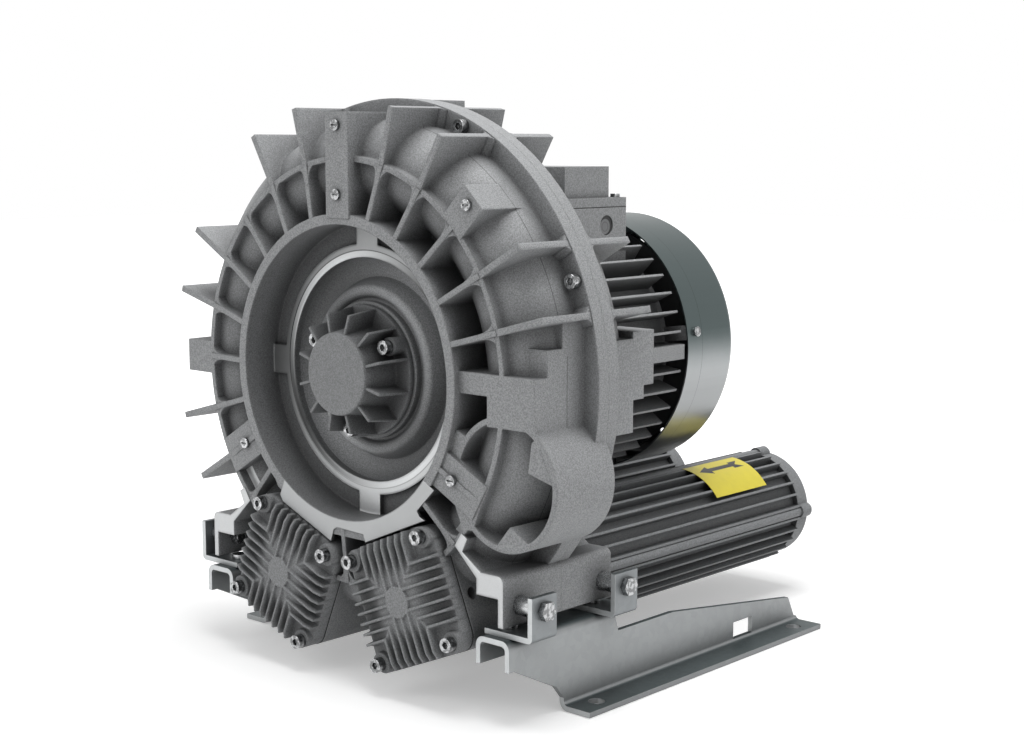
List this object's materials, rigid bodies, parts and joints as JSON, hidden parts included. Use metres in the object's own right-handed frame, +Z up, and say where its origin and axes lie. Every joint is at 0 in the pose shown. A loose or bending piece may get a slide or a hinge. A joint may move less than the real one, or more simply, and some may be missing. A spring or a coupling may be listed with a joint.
{
  "type": "side channel blower",
  "caption": "Side channel blower: ribbed round casing, finned motor with terminal box and cowl, finned port covers, twin silencers and sheet steel base rails.",
  "frame": {"origin": "on the floor, centre of the four foot bolts", "axes": "+Z up; +Y backwards along the shaft, from the casing's front towards the motor; +X to the right seen from the front"},
  "size_m": [0.5068, 0.5927, 0.541],
  "materials": {
    "cast_paint": "textured grey paint on cast aluminium",
    "cover_paint": "dark grey paint",
    "motor_paint": "grey paint",
    "bare_aluminium": "machined",
    "galvanised": "galvanised sheet",
    "bright_steel": "zinc plated",
    "dark_steel": "ground shaft steel",
    "lamination": "stacked electrical steel",
    "copper": "varnished copper wire",
    "brass": "plain",
    "tube_anodised": "extruded",
    "dark_plastic": "moulded",
    "grey_plastic": "moulded",
    "fan_plastic": "moulded",
    "rubber": "matt",
    "foam": "open cell foam"
  },
  "bodies": {
    "machine": {"front_housing": "cast_paint", "rear_housing": "cast_paint", "front_shaft_seal": "rubber", "rear_shaft_seal": "rubber", "wave_spring": "bright_steel", "front_bearing_outer_ring": "bright_steel", "rear_bearing_outer_ring": "bright_steel", "bearing_cap": "cover_paint", "cap_screws": "bright_steel", "flange_screws": "bright_steel", "slotted_screws": "bright_steel", "port_cover_right": "cover_paint", "port_cover_left": "cover_paint", "cover_screws": "bright_steel", "port_gaskets": "rubber", "silencer_tube_right": "tube_anodised", "silencer_tube_left": "tube_anodised", "silencer_liner_right": "foam", "silencer_liner_left": "foam", "silencer_core_right": "galvanised", "silencer_core_left": "galvanised", "silencer_cap_right": "dark_plastic", "silencer_cap_left": "dark_plastic", "tie_rods": "bright_steel", "base_rail_right": "galvanised", "base_rail_left": "galvanised", "foot_bracket_front_right": "galvanised", "foot_bracket_rear_right": "galvanised", "foot_bracket_front_left": "galvanised", "foot_bracket_rear_left": "galvanised", "foot_screws": "bright_steel", "foot_nuts": "bright_steel", "foot_spacers": "bright_steel", "motor_frame": "motor_paint", "motor_screws": "bright_steel", "stator_core": "lamination", "stator_winding": "copper", "rear_end_shield": "motor_paint", "fan_cowl": "motor_paint", "cowl_screws": "bright_steel", "terminal_box": "motor_paint", "terminal_gasket": "rubber", "terminal_lid": "motor_paint", "lid_screws": "bright_steel", "blanking_plugs": "grey_plastic", "terminal_block": "grey_plastic", "terminal_studs": "brass"},
    "rotor": {"motor_shaft": "dark_steel", "shaft_key": "bright_steel", "spacer_sleeve": "bright_steel", "lock_nut": "bright_steel", "impeller": "bare_aluminium", "rotor_core": "lamination", "rotor_end_rings": "bare_aluminium", "cooling_fan": "fan_plastic", "fan_retaining_ring": "dark_steel", "front_bearing_inner_ring": "bright_steel", "rear_bearing_inner_ring": "bright_steel"},
    "front_cage": {"front_bearing_balls": "bright_steel"},
    "rear_cage": {"rear_bearing_balls": "bright_steel"}
  },
  "joints": [
    {"name": "rotor_spin", "type": "hinge", "parent": "machine", "child": "rotor", "pos_m": [0, -0.18, 0.291], "axis": [0, 1, 0], "continuous": true},
    {"name": "front_cage_spin", "type": "hinge", "parent": "machine", "child": "front_cage", "pos_m": [0, -0.2155, 0.291], "axis": [0, 1, 0], "continuous": true},
    {"name": "rear_cage_spin", "type": "hinge", "parent": "machine", "child": "rear_cage", "pos_m": [0, 0.086, 0.291], "axis": [0, 1, 0], "continuous": true}
  ],
  "couplings": [
    {"joint": "front_cage_spin", "follows": "rotor_spin", "ratio": 0.3846},
    {"joint": "rear_cage_spin", "follows": "rotor_spin", "ratio": 0.4}
  ]
}
